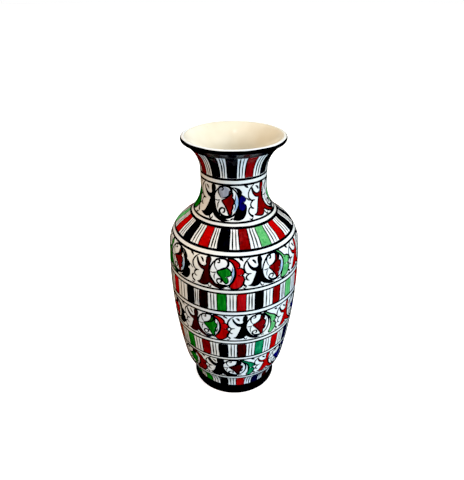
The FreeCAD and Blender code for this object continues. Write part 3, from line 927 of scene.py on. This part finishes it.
# The colours each has a layer of, in the order they are laid on.
BAR_COLOURS = ("black", "red", "dark_red", "maroon", "umber", "brick", "green", "emerald",
               "light_green", "navy")
# Of these, grey is painted shade on the neck's teardrop, not a paint of its own.
FIGURE_COLOURS = ("black", "red", "dark_red", "maroon", "green", "emerald", "light_green", "blue",
                  "pale_blue", "grey")


def paint_ornament():
    """All the painted layers, in the order in which they are laid on."""
    for colour in BAR_COLOURS:
        Paint(f"bars_{colour}", COLOURS[colour])
    for colour in FIGURE_COLOURS:
        Paint(f"figures_{colour}", COLOURS[colour])
    rings = Paint("ring_lines", COLOURS["black"])
    for under, over in zip(RING_LINES[::2], RING_LINES[1::2]):
        ring_band(rings, under[0] - RING_SPREAD, under[1])
        ring_band(rings, over[0], over[1] + RING_SPREAD)
    lip_sleeve(Paint("lip_band", COLOURS["black"]), *LIP_BAND)
    for name in BAR_ROWS:
        Paint(f"{name}_bar_lines", COLOURS["black"])
        paint_bars(name)
    for row in FIGURE_ROWS:
        Paint(f"{row}_figure_lines", COLOURS["black"])
        paint_figures(row)
    for layer in Paint.layers.values():
        if layer.verts:
            layer.build()


# ---------------------------------------------------------------- the glazed pot

def make_coats():
    """The four coats of glaze, which stand for the CAD coats."""
    face = wall_profile(0.0, FOOT_GLAZE_HIGH)[:, :2]
    back = wall_profile(COAT_DEPTH, FOOT_GLAZE_HIGH)[:, :2]
    white = turned_piece("outside_glaze", coat_loop(face, back), WHITE_GLAZE)
    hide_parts("exterior_glaze")

    face, back = roll_points(0.0), roll_points(COAT_DEPTH)
    lip = turned_piece("lip_roll_glaze", coat_loop(face, back), WHITE_GLAZE)
    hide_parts("lip_glaze")

    face, back = lining_points(WALL), lining_points(WALL - COAT_DEPTH)
    lining = turned_piece("lining_glaze", coat_loop(face, back), CREAM_GLAZE)
    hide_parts("interior_glaze")

    face, back = foot_points(0.0), foot_points(COAT_DEPTH)
    foot = turned_piece("foot_band_glaze", coat_loop(face, back), BLACK_GLAZE)
    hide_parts("foot_glaze")


def lining_points(depth):
    """The lining's surface at a depth, from the lip down to the middle of the floor."""
    below = floor_points(depth)
    wall = wall_profile(depth, below[0][1])[::-1, :2]
    return np.vstack([wall[:-1], below])


def foot_points(depth):
    """The black coat's surface at a depth, up the hollow of the waist."""
    waist = wall_centres()[0]
    heights = np.linspace(FOOT_GLAZE_LOW, FOOT_GLAZE_HIGH, 16)
    reach = WAIST_CURVE + depth
    return np.stack([waist[0] - np.sqrt(reach ** 2 - (heights - waist[1]) ** 2), heights], axis=1)


# ---------------------------------------------------------------- stage, light and camera

def make_floor():
    """A pale floor lit from below, as a photographer's light table: it hardly takes a shadow.

    It is left out of the glaze's reflections, and the low lamp stands in for its bounce."""
    bpy.ops.mesh.primitive_circle_add(vertices=96, radius=12.0, fill_type="NGON")
    floor = bpy.context.object
    floor.name = "floor"
    floor.visible_glossy = False
    floor.visible_diffuse = False
    floor.visible_shadow = False
    material, tree, shader, place = new_material("pale_floor")
    tone = ramp(tree, noise(tree, place, 6),
                [(0.3, srgb(226, 224, 222)), (0.7, srgb(230, 228, 226))])
    tree.links.new(tone, shader.inputs["Base Color"])
    shader.inputs["Roughness"].default_value = 0.9
    shader.inputs["Emission Color"].default_value = (1, 1, 1, 1)
    shader.inputs["Emission Strength"].default_value = 0.68
    floor.data.materials.append(material)


def sun(name, azimuth, elevation, strength, colour, spread, mirrored=False):
    """A far soft light.  Azimuth is in degrees from the front, growing towards +X."""
    light = bpy.data.lights.new(name, "SUN")
    light.energy = strength
    light.color = colour
    light.angle = math.radians(spread)
    lamp = bpy.data.objects.new(name, light)
    lamp.visible_glossy = mirrored
    turn, rise = math.radians(azimuth), math.radians(elevation)
    away = Vector((math.sin(turn) * math.cos(rise), -math.cos(turn) * math.cos(rise),
                   math.sin(rise)))
    lamp.rotation_euler = away.to_track_quat("Z", "Y").to_euler()
    bpy.context.scene.collection.objects.link(lamp)


def make_lights():
    """Far soft lamps: a cool key from the right, with a weak lamp in front and one from below, a
    soft top light, a warm fill from the left, two plain lamps behind that don't reach the front,
    and a small faint one that the gloss mirrors."""
    sun("key", 60, 20, 3.0, (0.86, 0.95, 1.0), 45)
    sun("front", 10, 15, 0.5, (0.95, 0.98, 1.0), 50)
    sun("low", 35, -45, 1.9, (0.5, 0.78, 1.0), 60)
    sun("top", 0, 84, 2.2, (1.0, 0.96, 0.87), 40)
    sun("fill", -75, 8, 2.0, (1.0, 0.74, 0.5), 60)
    sun("back", 180, 25, 2.5, (0.97, 0.98, 1.0), 40)
    sun("low_back", 180, -30, 0.9, (0.97, 0.98, 1.0), 50)
    sun("glint", -4, 66, 0.1, (1.0, 0.99, 0.97), 6, mirrored=True)


def make_world():
    """Plain white round the stage.  Only the lamps light the vase."""
    world = bpy.data.worlds.new("studio")
    world.use_nodes = True
    world.node_tree.nodes["Background"].inputs["Color"].default_value = (1, 1, 1, 1)
    world.node_tree.nodes["Background"].inputs["Strength"].default_value = 1.0
    world.cycles_visibility.diffuse = False
    world.cycles_visibility.glossy = False
    bpy.context.scene.world = world


def set_contrast():
    """Plain colours, with the blacks pressed down a little."""
    view = bpy.context.scene.view_settings
    view.view_transform = "Standard"
    view.use_curve_mapping = True
    view.curve_mapping.black_level = (0.005,) * 3
    view.curve_mapping.update()


def make_camera():
    """The front view, from about 0.6 m away and a little above."""
    camera = bpy.data.cameras.new("camera")
    camera.sensor_width = 36.0
    camera.lens = 34.0
    camera.shift_x, camera.shift_y = -0.0042, 0.0355
    rig = bpy.data.objects.new("camera", camera)
    tilt, roll = math.radians(31.19), math.radians(-0.113)
    aim = Matrix.Rotation(math.radians(90) - tilt, 4, "X") @ Matrix.Rotation(roll, 4, "Z")
    rig.matrix_world = Matrix.Translation((0.0, -0.4328, 0.4239)) @ aim
    bpy.context.scene.collection.objects.link(rig)
    bpy.context.scene.camera = rig


def bare_clay():
    """Fired clay on the thrown sections, which show only under the foot."""
    for node in ("foot_ring", "base_floor", "lower_wall", "belly_lower", "belly_upper",
                 "shoulder_wall", "neck_wall", "mouth_rim"):
        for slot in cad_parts[node].material_slots:
            slot.material = CLAY


make_camera()
make_lights()
make_world()
set_contrast()
make_floor()
make_coats()
paint_ornament()
bare_clay()
